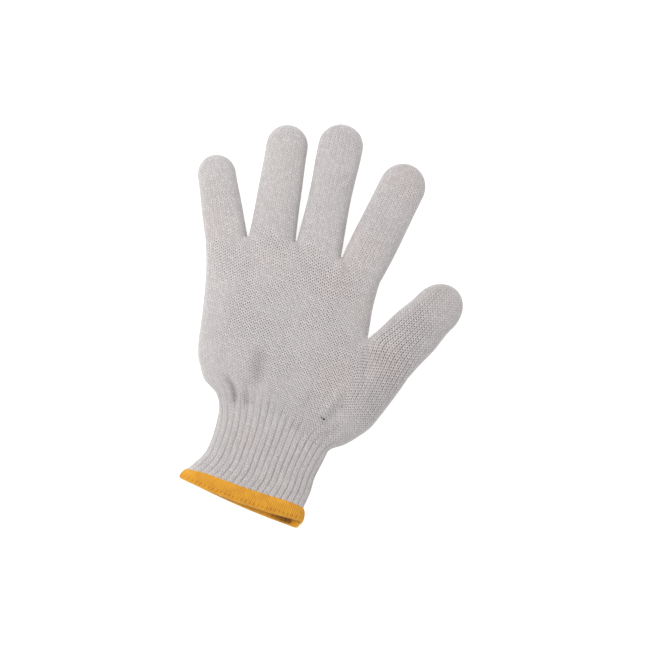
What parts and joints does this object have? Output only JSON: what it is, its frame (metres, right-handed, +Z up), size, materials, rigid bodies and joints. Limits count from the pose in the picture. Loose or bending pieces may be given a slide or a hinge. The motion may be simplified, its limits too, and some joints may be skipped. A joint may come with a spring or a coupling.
{
  "type": "cotton work glove",
  "caption": "Seamless string-knit cotton work glove lying flat, with finger tubes, thumb, ribbed elastic cuff and an overlocked coloured hem; hollow, fits either hand.",
  "frame": {"origin": "middle of the glove's box, on the surface it lies on", "axes": "+Y along the middle finger to its tip, +X to the thumb side, +Z up from the surface the glove lies on"},
  "size_m": [0.1762, 0.2512, 0.018],
  "materials": {
    "plain_knit": "plain jersey knit of natural cotton yarn, matt and slightly fuzzy",
    "rib_knit": "the same cotton knit drawn in to ribs by elastic thread",
    "hem_yarn": "golden yellow overlock yarn, soft sheen"
  },
  "bodies": {
    "root": {"palm": "plain_knit", "little_finger": "plain_knit", "ring_finger": "plain_knit", "middle_finger": "plain_knit", "index_finger": "plain_knit", "thumb": "plain_knit", "rib_cuff": "rib_knit", "hem": "hem_yarn"}
  },
  "joints": []
}
